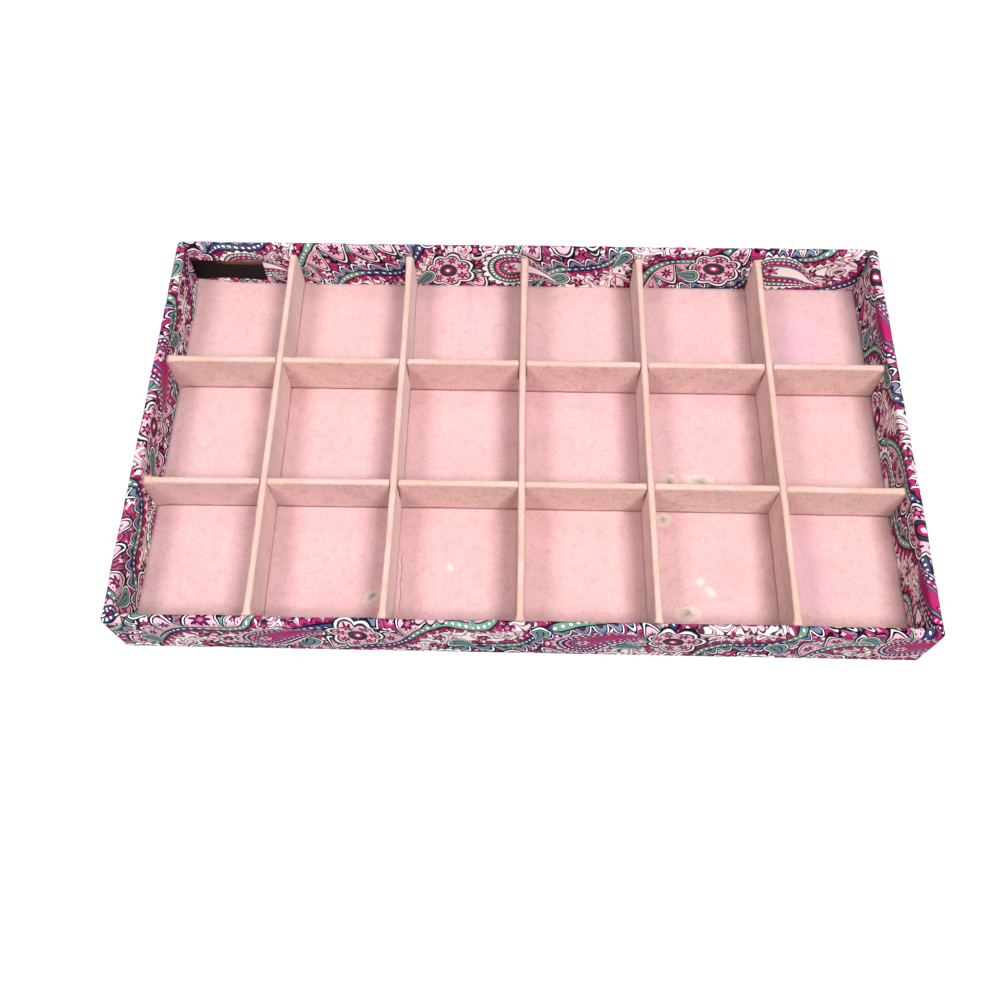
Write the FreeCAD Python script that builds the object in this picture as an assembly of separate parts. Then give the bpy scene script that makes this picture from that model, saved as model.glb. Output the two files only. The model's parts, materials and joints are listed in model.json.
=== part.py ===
import FreeCAD, Part
import os

from FreeCAD import Vector

# Compartment tray for jewelry: a cloth-covered board tray with a pink flocked floor and an egg-crate
# of flocked dividers that drops in and lifts out.
# Frame: millimetres, +X to the right, +Y to the rear, +Z up, origin at the middle of the underside.

# Tray, measured over the cloth
TRAY_LENGTH = 404.0
TRAY_DEPTH = 233.0
TRAY_HEIGHT = 36.5
CORNER_RADIUS = 2.2
RIM_RADIUS = 1.4
FOOT_RADIUS = 0.4

# Sheet goods, each by its own thickness
CLOTH = 0.6
WALL_BOARD = 2.8
BASE_BOARD = 2.4
FLOOR_CARD = 0.8
FLOOR_FLOCK = 0.4
STAY_PAPER = 0.2
UNDERSIDE_CARD = 0.6

# Cloth turned under the base, and the card glued over the turned edges, which the tray stands on
HEM = 14.0
UNDERSIDE_INSET = 4.0

# Paper stays that tie the four wall boards at the corners
STAY_LEG = 22.0
STAY_MARGIN = 3.0

# Flocked floor
FLOOR_GAP = 0.4

# Dividers: a board with flocked paper folded over its top edge
COLUMNS = 6
ROWS = 3
END_COLUMN_LESS = 1.6
FRONT_ROW_EXTRA = 2.4
DIVIDER_BOARD = 2.0
DIVIDER_FLOCK = 0.5
DIVIDER_TOP_RADIUS = 0.9
RIM_DROP = 5.3
END_GAP = 0.4
SLOT_SIDE_GAP = 0.3
SLOT_END_GAP = 0.2

# Bare ribbon label on the inside of the rear wall
LABEL_LENGTH = 42.0
LABEL_HEIGHT = 15.5
LABEL_THICKNESS = 0.35
LABEL_FROM_CORNER = 0.8
LABEL_ABOVE_FLOOR = 4.6
LABEL_TILT = 1.0

# Sizes that follow from the ones above
WALL = WALL_BOARD + 2 * CLOTH
INNER_LENGTH = TRAY_LENGTH - 2 * WALL
INNER_DEPTH = TRAY_DEPTH - 2 * WALL
BOARD_LENGTH = TRAY_LENGTH - 2 * CLOTH
BOARD_DEPTH = TRAY_DEPTH - 2 * CLOTH
CLOTH_FOOT = UNDERSIDE_CARD
BOARD_FOOT = CLOTH_FOOT + CLOTH
BOARD_TOP = TRAY_HEIGHT - CLOTH
BASE_TOP = BOARD_FOOT + BASE_BOARD
FLOCK_BOTTOM = BASE_TOP + FLOOR_CARD
FLOOR_TOP = FLOCK_BOTTOM + FLOOR_FLOCK
DIVIDER = DIVIDER_BOARD + 2 * DIVIDER_FLOCK
DIVIDER_TOP = TRAY_HEIGHT - RIM_DROP
DIVIDER_HEIGHT = DIVIDER_TOP - FLOOR_TOP
SLOT_WIDTH = DIVIDER + 2 * SLOT_SIDE_GAP
SLOT_DEPTH = DIVIDER_HEIGHT / 2 + SLOT_END_GAP
BEYOND = 10.0

OUT = "parts"


def block(length, depth, low, high):
    """Box centred on the Z axis between two heights."""
    return Part.makeBox(length, depth, high - low, Vector(-length / 2, -depth / 2, low))


def span(x_low, x_high, y_low, y_high, z_low, z_high):
    """Box between two corners."""
    corner = Vector(x_low, y_low, z_low)
    return Part.makeBox(x_high - x_low, y_high - y_low, z_high - z_low, corner)


def rounded_block(length, depth, low, high, radius):
    """Centred box with its four upright edges rounded."""
    box = block(length, depth, low, high)
    upright = [e for e in box.Edges if e.BoundBox.ZLength > (high - low) / 2]
    return box.makeFillet(radius, upright)


def edges_at(shape, height):
    """Edges that lie wholly at one height."""
    tolerance = 1e-4
    return [
        e
        for e in shape.Edges
        if abs(e.BoundBox.ZMin - height) < tolerance and abs(e.BoundBox.ZMax - height) < tolerance
    ]


def wall_ring():
    """The four wall boards as one ring, with the rim's edges eased as the cloth needs."""
    ring = rounded_block(BOARD_LENGTH, BOARD_DEPTH, BOARD_FOOT, BOARD_TOP, CORNER_RADIUS - CLOTH)
    opening_length = BOARD_LENGTH - 2 * WALL_BOARD
    opening_depth = BOARD_DEPTH - 2 * WALL_BOARD
    ring = ring.cut(block(opening_length, opening_depth, BOARD_FOOT - BEYOND, BOARD_TOP + BEYOND))
    return ring.makeFillet(RIM_RADIUS - CLOTH, edges_at(ring, BOARD_TOP))


def split_ends_and_sides(ring, half_depth):
    """Front and rear pieces over the full length, and left and right pieces that stand between them."""
    reach = TRAY_LENGTH
    tall = TRAY_HEIGHT + BEYOND
    front_zone = span(-reach, reach, -reach, -half_depth, -BEYOND, tall)
    rear_zone = span(-reach, reach, half_depth, reach, -BEYOND, tall)
    left_zone = span(-reach, 0, -half_depth, half_depth, -BEYOND, tall)
    right_zone = span(0, reach, -half_depth, half_depth, -BEYOND, tall)
    zones = {"front": front_zone, "rear": rear_zone, "left": left_zone, "right": right_zone}
    return {side: ring.common(zone) for side, zone in zones.items()}


def wall_boards(ring):
    """Front and rear boards lap the ends of the side boards."""
    return split_ends_and_sides(ring, BOARD_DEPTH / 2 - WALL_BOARD)


def base_board():
    """Bottom board, glued inside the foot of the four walls."""
    length = BOARD_LENGTH - 2 * WALL_BOARD
    depth = BOARD_DEPTH - 2 * WALL_BOARD
    return block(length, depth, BOARD_FOOT, BASE_TOP)


def corner_stays():
    """An angle of paper tape round the outside of each corner of the wall boards, under the cloth."""
    low = BOARD_FOOT + STAY_MARGIN
    high = BOARD_TOP - STAY_MARGIN
    radius = CORNER_RADIUS - CLOTH
    outside = rounded_block(
        BOARD_LENGTH + 2 * STAY_PAPER, BOARD_DEPTH + 2 * STAY_PAPER, low, high, radius + STAY_PAPER
    )
    sleeve = outside.cut(rounded_block(BOARD_LENGTH, BOARD_DEPTH, low, high, radius))
    stays = {}
    for end, y_sign in (("front", -1), ("rear", 1)):
        for side, x_sign in (("left", -1), ("right", 1)):
            x_inner = x_sign * (BOARD_LENGTH / 2 - STAY_LEG)
            y_inner = y_sign * (BOARD_DEPTH / 2 - STAY_LEG)
            x_outer = x_sign * TRAY_LENGTH
            y_outer = y_sign * TRAY_DEPTH
            zone = span(
                min(x_inner, x_outer), max(x_inner, x_outer),
                min(y_inner, y_outer), max(y_inner, y_outer),
                low, high,
            )
            stays[f"{end}_{side}"] = sleeve.common(zone)
    return stays


def cloth_wraps(ring, stays):
    """Cloth up the outside of each wall, over the rim and down inside, with a hem turned under.

    The skin is the covered tray less the boards and stays. The front and rear cloths run the full
    length and round the corners, and the side cloths butt against them in line with the inner faces.
    """
    skin = rounded_block(TRAY_LENGTH, TRAY_DEPTH, CLOTH_FOOT, TRAY_HEIGHT, CORNER_RADIUS)
    skin = skin.cut(block(INNER_LENGTH, INNER_DEPTH, BASE_TOP, TRAY_HEIGHT + BEYOND))
    skin = skin.makeFillet(RIM_RADIUS, edges_at(skin, TRAY_HEIGHT))
    skin = skin.makeFillet(FOOT_RADIUS, edges_at(skin, CLOTH_FOOT))
    skin = skin.cut(block(TRAY_LENGTH - 2 * HEM, TRAY_DEPTH - 2 * HEM, -BEYOND, BOARD_FOOT))
    for inside in [ring, base_board(), *stays.values()]:
        skin = skin.cut(inside)
    above_hem = block(2 * TRAY_LENGTH, 2 * TRAY_DEPTH, BOARD_FOOT, TRAY_HEIGHT + BEYOND)
    hem_layer = block(2 * TRAY_LENGTH, 2 * TRAY_DEPTH, -BEYOND, BOARD_FOOT)
    walls = split_ends_and_sides(skin.common(above_hem), INNER_DEPTH / 2)
    hems = split_ends_and_sides(skin.common(hem_layer), TRAY_DEPTH / 2 - HEM)
    return {side: walls[side].fuse(hems[side]).removeSplitter() for side in walls}


def underside_card():
    """Thin card glued over the turned-under hems, which hides their raw edges."""
    inset = 2 * UNDERSIDE_INSET
    return block(TRAY_LENGTH - inset, TRAY_DEPTH - inset, 0, UNDERSIDE_CARD)


def floor_layer(low, high):
    """A layer of the flocked floor, laid loose between the covered walls."""
    return block(INNER_LENGTH - 2 * FLOOR_GAP, INNER_DEPTH - 2 * FLOOR_GAP, low, high)


def divider_blank(length):
    """Board and flocked cover of one divider along X, before its slots are cut."""
    board_top = DIVIDER_TOP - DIVIDER_FLOCK
    board = block(length, DIVIDER_BOARD, FLOOR_TOP, board_top)
    cover = block(length, DIVIDER, FLOOR_TOP, DIVIDER_TOP)
    long_edges = [e for e in edges_at(cover, DIVIDER_TOP) if e.BoundBox.XLength > length / 2]
    cover = cover.makeFillet(DIVIDER_TOP_RADIUS, long_edges).cut(board)
    return board, cover


def divider(length, slot_places, slot_low, slot_high):
    """Board and flocked cover of one divider along X, with a slot at each crossing."""
    pieces = []
    for piece in divider_blank(length):
        for place in slot_places:
            half = SLOT_WIDTH / 2
            slot = span(place - half, place + half, -DIVIDER, DIVIDER, slot_low, slot_high)
            piece = piece.cut(slot)
        pieces.append(piece)
    return pieces


def divider_places(inner, cells, first_extra, last_extra):
    """Middle of each divider, from the low end, with equal cells but for extra room in the first and last."""
    cell = (inner - first_extra - last_extra - (cells - 1) * DIVIDER) / cells
    first = -inner / 2 + first_extra + cell + DIVIDER / 2
    return [first + n * (cell + DIVIDER) for n in range(cells - 1)]


def long_divider(place_y, short_places):
    """Left-to-right divider, slotted from the top."""
    pieces = divider(
        INNER_LENGTH - 2 * END_GAP, short_places, DIVIDER_TOP - SLOT_DEPTH, DIVIDER_TOP + BEYOND
    )
    return [piece.translated(Vector(0, place_y, 0)) for piece in pieces]


def short_divider(place_x, long_places):
    """Front-to-rear divider, slotted from the bottom, that straddles the long ones."""
    pieces = divider(
        INNER_DEPTH - 2 * END_GAP, long_places, FLOOR_TOP - BEYOND, FLOOR_TOP + SLOT_DEPTH
    )
    turned = [piece.rotated(Vector(), Vector(0, 0, 1), 90) for piece in pieces]
    return [piece.translated(Vector(place_x, 0, 0)) for piece in turned]


def blank_label():
    """Bare ribbon label stuck to the cloth inside the rear wall, at the left corner, a little askew."""
    face = INNER_DEPTH / 2
    left = -INNER_LENGTH / 2 + LABEL_FROM_CORNER
    low = FLOOR_TOP + LABEL_ABOVE_FLOOR
    ribbon = span(left, left + LABEL_LENGTH, face - LABEL_THICKNESS, face, low, low + LABEL_HEIGHT)
    middle = Vector(left + LABEL_LENGTH / 2, face, low + LABEL_HEIGHT / 2)
    return ribbon.rotated(middle, Vector(0, 1, 0), LABEL_TILT)


def export(name, shape):
    """Writes one node, as its single solid or as a compound of its solids."""
    solids = shape.Solids
    node = solids[0] if len(solids) == 1 else Part.makeCompound(solids)
    node.exportStep(os.path.join(OUT, f"{name}.step"))
    print(f"{name:32s} solids {len(solids)}  valid {node.isValid()}  volume {node.Volume:.1f}")


def main():
    os.makedirs(OUT, exist_ok=True)
    ring = wall_ring()
    stays = corner_stays()
    export("base_board", base_board())
    for side, board in wall_boards(ring).items():
        export(f"{side}_wall_board", board)
    for corner, stay in stays.items():
        export(f"{corner}_corner_stay", stay)
    for side, cloth in cloth_wraps(ring, stays).items():
        export(f"{side}_cloth", cloth)
    export("underside_card", underside_card())
    export("floor_card", floor_layer(BASE_TOP, FLOCK_BOTTOM))
    export("floor_flock", floor_layer(FLOCK_BOTTOM, FLOOR_TOP))
    export("blank_label", blank_label())

    short_places = divider_places(INNER_LENGTH, COLUMNS, -END_COLUMN_LESS, -END_COLUMN_LESS)
    long_places = divider_places(INNER_DEPTH, ROWS, FRONT_ROW_EXTRA, 0.0)
    for number, place in enumerate(long_places, start=1):
        board, cover = long_divider(place, short_places)
        export(f"long_divider_{number}_board", board)
        export(f"long_divider_{number}_flock", cover)
    for number, place in enumerate(short_places, start=1):
        board, cover = short_divider(place, long_places)
        export(f"short_divider_{number}_board", board)
        export(f"short_divider_{number}_flock", cover)


main()
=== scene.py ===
import json
import math

import bmesh
import bpy
import numpy as np
from mathutils import Matrix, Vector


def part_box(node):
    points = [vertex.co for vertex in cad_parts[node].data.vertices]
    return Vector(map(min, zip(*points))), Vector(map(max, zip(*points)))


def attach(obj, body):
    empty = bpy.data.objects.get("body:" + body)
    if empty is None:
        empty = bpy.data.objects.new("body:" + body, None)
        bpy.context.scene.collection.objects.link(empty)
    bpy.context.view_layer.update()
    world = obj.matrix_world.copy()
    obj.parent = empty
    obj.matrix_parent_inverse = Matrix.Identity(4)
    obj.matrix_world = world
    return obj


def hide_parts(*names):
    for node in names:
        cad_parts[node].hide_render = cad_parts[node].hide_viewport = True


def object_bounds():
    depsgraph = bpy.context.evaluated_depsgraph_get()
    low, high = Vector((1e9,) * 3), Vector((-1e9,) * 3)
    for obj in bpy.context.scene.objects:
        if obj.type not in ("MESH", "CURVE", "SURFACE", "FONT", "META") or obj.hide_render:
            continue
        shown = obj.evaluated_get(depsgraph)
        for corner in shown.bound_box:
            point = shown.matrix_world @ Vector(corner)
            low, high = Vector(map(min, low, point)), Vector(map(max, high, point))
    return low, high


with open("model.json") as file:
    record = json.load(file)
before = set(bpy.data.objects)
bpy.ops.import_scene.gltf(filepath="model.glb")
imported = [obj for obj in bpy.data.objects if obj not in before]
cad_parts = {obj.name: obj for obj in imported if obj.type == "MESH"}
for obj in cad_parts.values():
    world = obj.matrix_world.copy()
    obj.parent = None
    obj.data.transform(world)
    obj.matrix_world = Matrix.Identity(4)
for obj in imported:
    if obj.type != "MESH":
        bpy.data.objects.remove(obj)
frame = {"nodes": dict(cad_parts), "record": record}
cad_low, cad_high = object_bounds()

# Compartment tray: printed cotton over board walls, a pink flocked floor and a lift-out grid of
# flocked dividers. Metres, +X right, +Y to the rear, +Z up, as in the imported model.
MM = 0.001

# Camera, from the edges of the tray in a picture taken as 1000 by 1000 pixels
IMAGE_SIDE = 1000
FOCAL_PIXELS = 1021.3
SENSOR_MM = 36.0
CAMERA_PLACE = (-1.7 * MM, -277.44 * MM, 501.42 * MM)
CAMERA_ELEVATION = math.radians(63.715)
CAMERA_ROLL = math.radians(-1.16)
CAMERA_YAW = math.radians(2.328)

# Sizes of the tray, read from the frame
HALF_LENGTH = cad_high.x
HALF_DEPTH = cad_high.y
RIM_TOP = cad_high.z
INNER_HALF_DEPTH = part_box("left_cloth")[1].y
WALL = HALF_DEPTH - INNER_HALF_DEPTH
CLOTH_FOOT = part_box("front_cloth")[0].z
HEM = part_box("front_cloth")[1].y + HALF_DEPTH
BASE_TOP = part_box("base_board")[1].z
FLOOR_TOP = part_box("floor_flock")[1].z
FLOOR_FLOCK = FLOOR_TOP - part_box("floor_card")[1].z
DIVIDER_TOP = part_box("long_divider_1_flock")[1].z
DIVIDER_FLOCK = DIVIDER_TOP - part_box("long_divider_1_board")[1].z

# Cloth over the walls
CORNER_RADIUS = 2.2 * MM
RIM_RADIUS = 1.4 * MM
FOOT_RADIUS = 0.5 * MM
CLOTH_THICKNESS = 0.5 * MM
CLOTH_STEP = 1.6 * MM
RUN_LINE = 8
LAP = 1.4 * MM
LAP_RISE = 0.28 * MM
LAP_MARGIN = 1.2 * MM
LAP_SLOPE = 0.9 * MM
PUCKER = 0.24 * MM
PUCKER_WAVES = (7 * MM, 60 * MM)
SMOOTH_BY_HEM = 5 * MM
SMOOTH_BY_FOOT = 6 * MM
SMOOTH_BY_FOLD = 3 * MM
MITRE_RISE = 0.3 * MM
MITRE_START = 0.3 * MM

# Dividers
DIVIDER_TOP_RADIUS = 0.9 * MM
SLOT_SIDE_GAP = 0.3 * MM
SLOT_END_GAP = 0.2 * MM
CORE_CLEARANCE = 0.1 * MM
DIVIDER_STEP = 0.9 * MM
STEP_CLEARANCE = 0.4 * MM
DIVIDER_BOW = 0.15 * MM
SLOT_WEAR = 0.8 * MM
FOLD_SHARE = 0.88
FOOT_SHARE = 1.04
TAPER_REACH = (1 * MM, 14 * MM)
PINCH = 0.05
PINCH_WAVES = (8 * MM, 50 * MM)
FOLD_REACH = (1.5 * MM, 4.0 * MM)
FOLD_RISE = 0.12 * MM
FOLD_WAVES = (20 * MM, 120 * MM)
FOLD_DENT = 0.34 * MM
DENT_WAVES = (2.6 * MM, 16 * MM)
DENT_LEVELS = (0.2, 2.2)
DENT_ASIDE = 0.6
END_DROP = 0.6 * MM
END_ROUNDING = 1.8 * MM
END_FLARE = 1.3 * MM
FLARE_LENGTH = 7.5 * MM
START_FLARE_SHARE = (0.5, 1.0)
STOP_FLARE_SHARE = (0.15, 0.4)

# Bend of each divider off its straight line, in millimetres at four even stations along it
LONG_BENDS = ((-0.2, 0.4, 0.5, -0.1), (0.2, 0.4, 0.1, 0.3))
SHORT_BENDS = (
    (0.3, -0.25, -0.9, -1.4),
    (-0.35, 0.35, 0.3, -0.4),
    (-0.1, -0.1, -0.5, -0.2),
    (0.5, -0.3, -0.7, -1.2),
    (0.6, 0.55, 0.55, 0.65),
)

# Floor
FLOOR_GRID = (200, 114)
FLOOR_DIP = 0.16 * MM
FLOOR_WAVES = (14 * MM, 90 * MM)
CORNER_LIFT = 4.2 * MM
CORNER_LIFT_REACH = 40.0 * MM
CORNER_LIFT_SLANT = 1.6

# Ribbon
RIBBON_GRID = (64, 24)
RIBBON_THICKNESS = 0.2 * MM
RIBBON_SAG = 1.3 * MM
RIBBON_TILT = 0.9 * MM
RIBBON_OFF = 0.62 * MM
RIBBON_RIPPLE = 0.16 * MM
RIBBON_WAVES = (9 * MM, 40 * MM)

# Stage, and the name, place, width, length and power of each lamp
STAGE_REACH = 15.0
STAGE_GLOW = 0.92
STAGE_LEVEL = -0.1 * MM
STAGE_GREY = 0.12
ROOM_LIGHT = 0.02
LAMP_AIM = (-0.2, 0.9)
LAMPS = (
    ("lamp_left", (-0.52, -0.35, 0.88), 0.29, 0.5, 8.4),
    ("lamp_right", (0.44, -0.41, 1.05), 0.35, 0.6, 17.25),
    ("lamp_rear", (0.0, 0.5, 1.0), 0.6, 0.4, 3.3),
)

# Bodies
TRAY = "tray"
GRID = "long_dividers"


def ripple(u, v, seed, shortest, longest, waves=14):
    """Smooth unevenness between about -1 and 1: a sum of plane waves over the surface.

    Each wave has a direction, phase and wavelength drawn from the seed, and long waves are stronger.
    """
    draw = np.random.default_rng(seed)
    lengths = shortest * (longest / shortest) ** draw.random(waves)
    turns = draw.random(waves) * 2 * np.pi
    phases = draw.random(waves) * 2 * np.pi
    weights = np.sqrt(lengths / longest)
    total = np.zeros(np.broadcast(u, v).shape)
    for length, turn, phase, weight in zip(lengths, turns, phases, weights):
        along = u * np.cos(turn) + v * np.sin(turn)
        total = total + weight * np.sin(2 * np.pi * along / length + phase)
    return total / np.sqrt((weights**2).sum())


def ease(value, low, high):
    """Smooth step: 0 up to low, 1 from high, and 3 t squared less 2 t cubed between."""
    t = np.clip((value - low) / (high - low), 0, 1)
    return t * t * (3 - 2 * t)


def added(name, data):
    """New object in the scene for this data."""
    made = bpy.data.objects.new(name, data)
    bpy.context.scene.collection.objects.link(made)
    return made


def grid_piece(name, points, uv, keep=None, thickness=None, flip=False):
    """Piece made of the quads between neighbours of a grid of points, rows by columns by 3.

    keep says which quads stay, and points that none of them uses are left out. thickness gives the
    sheet its back by an even offset inwards.
    """
    rows, columns = points.shape[:2]
    index = np.arange(rows * columns).reshape(rows, columns)
    quads = np.stack([index[:-1, :-1], index[:-1, 1:], index[1:, 1:], index[1:, :-1]], axis=-1)
    quads = quads.reshape(-1, 4) if keep is None else quads[keep]
    if flip:
        quads = quads[:, ::-1]
    corners = quads.ravel()
    used, places = np.unique(corners, return_inverse=True)
    mesh = bpy.data.meshes.new(name)
    mesh.vertices.add(len(used))
    mesh.vertices.foreach_set("co", points.reshape(-1, 3)[used].astype(np.float32).ravel())
    mesh.loops.add(quads.size)
    mesh.loops.foreach_set("vertex_index", places.astype(np.int32).ravel())
    mesh.polygons.add(len(quads))
    mesh.polygons.foreach_set("loop_start", np.arange(0, quads.size, 4, dtype=np.int32))
    mesh.polygons.foreach_set("use_smooth", np.ones(len(quads), dtype=bool))
    layer = mesh.uv_layers.new(name="sheet")
    layer.uv.foreach_set("vector", uv.reshape(-1, 2)[corners].astype(np.float32).ravel())
    mesh.update(calc_edges=True)
    merge_points(mesh)
    piece = added(name, mesh)
    if thickness:
        solid = piece.modifiers.new("thickness", "SOLIDIFY")
        solid.thickness = thickness
        solid.offset = -1
    return piece


def merge_points(mesh):
    """Merges points that fall together, and drops the faces that this leaves without area."""
    work = bmesh.new()
    work.from_mesh(mesh)
    bmesh.ops.remove_doubles(work, verts=work.verts, dist=1e-6)
    bmesh.ops.dissolve_degenerate(work, edges=work.edges, dist=1e-7)
    work.to_mesh(mesh)
    work.free()


def normals_of(points):
    """Unit normal at each point of a grid: the cross product of its two central differences."""
    along = np.gradient(points, axis=0)
    across = np.gradient(points, axis=1)
    normal = np.cross(across, along)
    length = np.linalg.norm(normal, axis=-1, keepdims=True)
    return normal / np.maximum(length, 1e-12)


def wall_profile():
    """Inward offset, height and length along the cloth, from the hem's edge to the foot of the inside.

    The line runs out under the base, turns up round the foot, climbs the wall, rounds the rim's two
    edges with a flat between them and drops inside to the base board.
    """
    foot = np.linspace(-np.pi / 2, -np.pi, 4)
    rim_out = np.linspace(np.pi, np.pi / 2, 8)
    rim_in = np.linspace(np.pi / 2, 0, 8)
    hem = np.linspace(HEM, FOOT_RADIUS, 8)[:-1]
    outside = np.linspace(CLOTH_FOOT + FOOT_RADIUS, RIM_TOP - RIM_RADIUS, 22)[1:-1]
    top = np.linspace(RIM_RADIUS, WALL - RIM_RADIUS, 4)[1:-1]
    inside = np.linspace(RIM_TOP - RIM_RADIUS, BASE_TOP, 20)[1:]
    offset = np.concatenate([
        hem,
        FOOT_RADIUS + FOOT_RADIUS * np.cos(foot),
        np.zeros_like(outside),
        RIM_RADIUS + RIM_RADIUS * np.cos(rim_out),
        top,
        WALL - RIM_RADIUS + RIM_RADIUS * np.cos(rim_in),
        np.full_like(inside, WALL),
    ])
    height = np.concatenate([
        np.full_like(hem, CLOTH_FOOT),
        CLOTH_FOOT + FOOT_RADIUS + FOOT_RADIUS * np.sin(foot),
        outside,
        RIM_TOP - RIM_RADIUS + RIM_RADIUS * np.sin(rim_out),
        np.full_like(top, RIM_TOP),
        RIM_TOP - RIM_RADIUS + RIM_RADIUS * np.sin(rim_in),
        inside,
    ])
    steps = np.hypot(np.diff(offset), np.diff(height))
    return offset, height, np.concatenate([[0], np.cumsum(steps)])


def wall_cloth(name, half, turns, covers_corners, print_place, seed):
    """Cloth of one wall: its profile carried along it, and round both corners where it covers them.

    In the wall's own plan the path runs along it at the profile's inward offset. At a covered corner
    it turns on an arc whose radius shrinks with the offset, then runs back to the inner face's line and
    a lap further, where it rises to lie over the neighbour. A ripple puckers the cloth, and a corner's
    mitre is a ridge on the rim. The plan is turned by quarter turns.
    """
    offset, height, length = wall_profile()
    inward = np.maximum(offset, CORNER_RADIUS)
    straight = np.linspace(-1, 1, int(2 * half / CLOTH_STEP))[:, None]
    if covers_corners:
        reach = half - inward
        bend = np.linspace(0, np.pi / 2, 7)[1:, None]
        radius = np.maximum(CORNER_RADIUS - offset, 0)
        bend_along = half - inward + radius * np.sin(bend)
        bend_in = inward - radius * np.cos(bend)
        side = np.linspace(0, 1, 7)[1:, None]
        lap = LAP * ease(WALL - offset, 0, RIM_RADIUS)
        side_in = inward + side * np.maximum(WALL + lap - inward, 0)
        side_along = np.broadcast_to(half - offset, side_in.shape)
        end_along = np.concatenate([bend_along, side_along])
        end_in = np.concatenate([bend_in, side_in])
    else:
        reach = half - np.maximum(offset, WALL)
        end_along = np.zeros((0, len(offset)))
        end_in = np.zeros((0, len(offset)))
    middle_in = np.broadcast_to(offset, (len(straight), len(offset)))
    plan_along = np.concatenate([-end_along[::-1], straight * reach, end_along])
    plan_in = np.concatenate([end_in[::-1], middle_in, end_in])
    plan_up = np.broadcast_to(height, plan_in.shape)
    # Way along the cloth, measured in the turn at its foot
    step = np.hypot(np.diff(plan_along[:, RUN_LINE]), np.diff(plan_in[:, RUN_LINE]))
    run = np.concatenate([[0], np.cumsum(step)])
    run = run - run[-1] / 2
    along, across = np.meshgrid(run, length, indexing="ij")

    other_half = HALF_DEPTH if covers_corners else HALF_LENGTH
    points = np.stack([plan_along, plan_in - other_half, plan_up], axis=-1)
    lift = PUCKER * np.tanh(ripple(along, across, seed, *PUCKER_WAVES))
    lift = lift * ease(across, HEM, HEM + SMOOTH_BY_HEM) * ease(length[-1] - across, 0, SMOOTH_BY_FOOT)
    if covers_corners:
        to_fold = np.abs(half - inward - np.abs(plan_along))
        lift = lift * np.where(offset > CORNER_RADIUS, ease(to_fold, 0, SMOOTH_BY_FOLD), 1)
        ridge = np.zeros(len(run))
        mitre = len(run) - len(side) - len(bend) + len(bend) // 2 - 1
        ridge[mitre] = 1
        ridge = np.maximum(ridge, ridge[::-1])
        on_top = ease(offset, MITRE_START, RIM_RADIUS) * ease(WALL - offset, 0, RIM_RADIUS)
        lift = lift + MITRE_RISE * ridge[:, None] * on_top
        lap_start = run[-1] - LAP - LAP_MARGIN
        over = ease(np.abs(along), lap_start, lap_start + LAP_SLOPE)
        lift = lift + LAP_RISE * over * (offset < WALL - RIM_RADIUS) * (across > HEM)
    normal = normals_of(points)
    points = points + normal * lift[..., None]
    angle = turns * np.pi / 2
    turn = np.array([[np.cos(angle), -np.sin(angle)], [np.sin(angle), np.cos(angle)]])
    points[..., :2] = points[..., :2] @ turn.T
    uv = np.stack([along + print_place[0], across + print_place[1]], axis=-1)
    piece = grid_piece(f"{name}_cotton", points, uv, thickness=CLOTH_THICKNESS)
    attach(piece, TRAY)
    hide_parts(f"{name}_cloth")
    return piece


def flocked_floor():
    """Flocked sheet on the floor card: a flat grid with shallow dips, curled up at the rear left corner.

    The curl rises with the square of the nearness to the corner, measured along a slant.
    """
    low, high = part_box("floor_flock")
    x = np.linspace(low.x, high.x, FLOOR_GRID[0])
    y = np.linspace(low.y, high.y, FLOOR_GRID[1])
    x, y = np.meshgrid(x, y, indexing="ij")
    dip = FLOOR_DIP * (0.5 + 0.5 * np.tanh(ripple(x, y, 5, *FLOOR_WAVES)))
    from_corner = (x - low.x) + CORNER_LIFT_SLANT * (high.y - y)
    nearness = np.clip(1 - from_corner / CORNER_LIFT_REACH, 0, 1)
    z = high.z - dip + CORNER_LIFT * nearness**2
    points = np.stack([x, y, z], axis=-1)
    uv = np.stack([x, y], axis=-1)
    piece = grid_piece("floor_pile", points, uv, thickness=FLOOR_FLOCK - FLOOR_DIP, flip=True)
    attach(piece, TRAY)
    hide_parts("floor_flock")
    return piece


def fold_profile(half_thick, slot_level):
    """Sideways place, height and length of a divider's cover, up one face and down the other.

    The length is measured from the middle of the fold.
    """
    radius = DIVIDER_TOP_RADIUS
    shoulder = DIVIDER_TOP - radius
    lower = np.linspace(FLOOR_TOP, slot_level, 7)
    upper = np.linspace(slot_level, shoulder, 6)[1:]
    face = np.concatenate([lower, upper])
    out = np.linspace(np.pi, np.pi / 2, 6)[1:]
    flat = np.linspace(-1, 1, 4)[1:-1] * (half_thick - radius)
    back = np.linspace(np.pi / 2, 0, 6)[:-1]
    side = np.concatenate([
        np.full_like(face, -half_thick),
        -half_thick + radius + radius * np.cos(out),
        flat,
        half_thick - radius + radius * np.cos(back),
        np.full_like(face, half_thick),
    ])
    height = np.concatenate([
        face,
        shoulder + radius * np.sin(out),
        np.full_like(flat, DIVIDER_TOP),
        shoulder + radius * np.sin(back),
        face[::-1],
    ])
    steps = np.concatenate([[0], np.cumsum(np.hypot(np.diff(side), np.diff(height)))])
    return side, height, steps - steps[-1] / 2


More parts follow.
